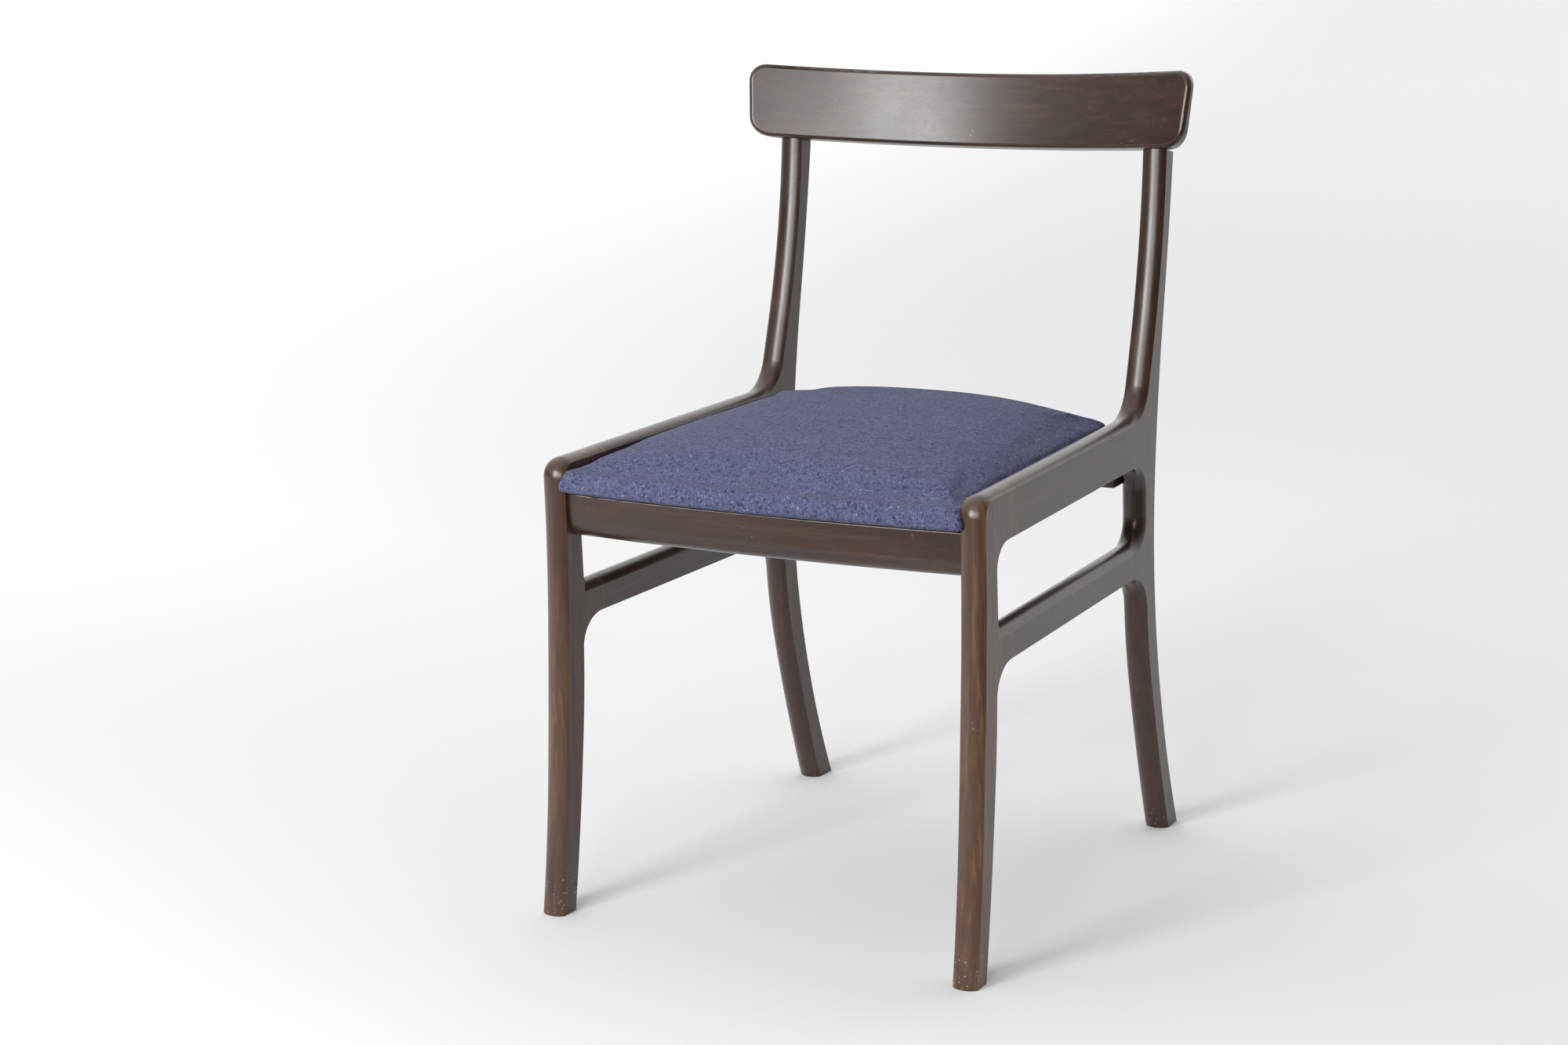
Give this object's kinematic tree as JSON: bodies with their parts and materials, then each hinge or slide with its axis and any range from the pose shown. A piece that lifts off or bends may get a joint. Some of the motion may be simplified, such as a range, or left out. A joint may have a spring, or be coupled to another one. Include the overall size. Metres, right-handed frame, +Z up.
{
  "type": "dining chair",
  "caption": "Wooden dining chair with outward-curved tapering legs, low side stretchers, a bent crest rail on back posts and an upholstered loose seat.",
  "frame": {"origin": "on the floor under the middle of the overall width and depth", "axes": "+Z up, the sitter faces -Y, +X is at the sitter's left hand"},
  "size_m": [0.5228, 0.581, 0.8161],
  "materials": {
    "dark_wood": "dark brown stain, satin",
    "block_wood": "unstained, sawn",
    "plain_wood": "unfinished beech",
    "steel": "plain",
    "webbing": "woven jute",
    "padding": "open-cell foam and felt",
    "wool_cover": "heathered blue-violet wool",
    "lining": "plain black cloth"
  },
  "bodies": {
    "root": {"front_leg_left": "dark_wood", "front_leg_right": "dark_wood", "rear_leg_left": "dark_wood", "rear_leg_right": "dark_wood", "side_rail_left": "dark_wood", "side_rail_right": "dark_wood", "side_stretcher_left": "dark_wood", "side_stretcher_right": "dark_wood", "crest_rail": "dark_wood", "front_rail": "dark_wood", "rear_rail": "dark_wood", "corner_block_front_left": "block_wood", "corner_block_front_right": "block_wood", "corner_block_rear_left": "block_wood", "corner_block_rear_right": "block_wood", "front_rail_dowels": "plain_wood", "rear_rail_dowels": "plain_wood", "block_screws": "steel", "seat_screws": "steel", "seat_frame_front": "plain_wood", "seat_frame_rear": "plain_wood", "seat_frame_side_left": "plain_wood", "seat_frame_side_right": "plain_wood", "webbing_lengthwise": "webbing", "webbing_crosswise": "webbing", "seat_pad": "padding", "seat_cover": "wool_cover", "seat_lining": "lining"}
  },
  "joints": []
}
